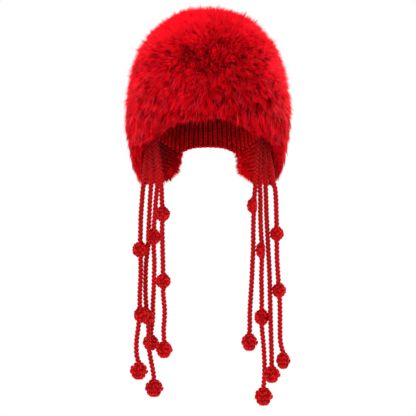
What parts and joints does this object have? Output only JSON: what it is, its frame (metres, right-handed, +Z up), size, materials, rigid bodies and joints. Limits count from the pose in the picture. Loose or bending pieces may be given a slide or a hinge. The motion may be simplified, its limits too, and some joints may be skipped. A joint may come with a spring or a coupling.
{
  "type": "knit earflap hat with a deep fur pile",
  "caption": "Earflap hat: a deep fur pile over a rib-knit lining, knit-faced flaps to each side of the neck, and plaited ties with crocheted bobbles.",
  "frame": {"origin": "the inside top of the crown, where the top of a head carries the hat", "axes": "+Z up as worn, the face opening towards -Y, +X to the wearer's left"},
  "size_m": [0.252, 0.2835, 0.5936],
  "materials": {
    "fur_pile": "deep soft fur pile dyed bright red",
    "rib_knit": "chunky rib knit in dark red wool",
    "tie_yarn": "plaited red wool yarn",
    "bobble_yarn": "crocheted red wool yarn"
  },
  "bodies": {
    "root": {"knit_lining": "rib_knit", "ear_flap_left": "rib_knit", "ear_flap_right": "rib_knit", "fur_cover": "fur_pile", "tie_left_1": "tie_yarn", "tie_left_2": "tie_yarn", "tie_left_3": "tie_yarn", "tie_left_4": "tie_yarn", "tie_right_1": "tie_yarn", "tie_right_2": "tie_yarn", "tie_right_3": "tie_yarn", "tie_right_4": "tie_yarn", "bobble_left_1a": "bobble_yarn", "bobble_left_1b": "bobble_yarn", "bobble_left_1c": "bobble_yarn", "bobble_left_2a": "bobble_yarn", "bobble_left_2b": "bobble_yarn", "bobble_left_3a": "bobble_yarn", "bobble_left_3b": "bobble_yarn", "bobble_left_4a": "bobble_yarn", "bobble_left_4b": "bobble_yarn", "bobble_left_4c": "bobble_yarn", "bobble_right_1a": "bobble_yarn", "bobble_right_1b": "bobble_yarn", "bobble_right_2a": "bobble_yarn", "bobble_right_2b": "bobble_yarn", "bobble_right_2c": "bobble_yarn", "bobble_right_3a": "bobble_yarn", "bobble_right_4a": "bobble_yarn", "bobble_right_4b": "bobble_yarn", "bobble_right_4c": "bobble_yarn"}
  },
  "joints": []
}
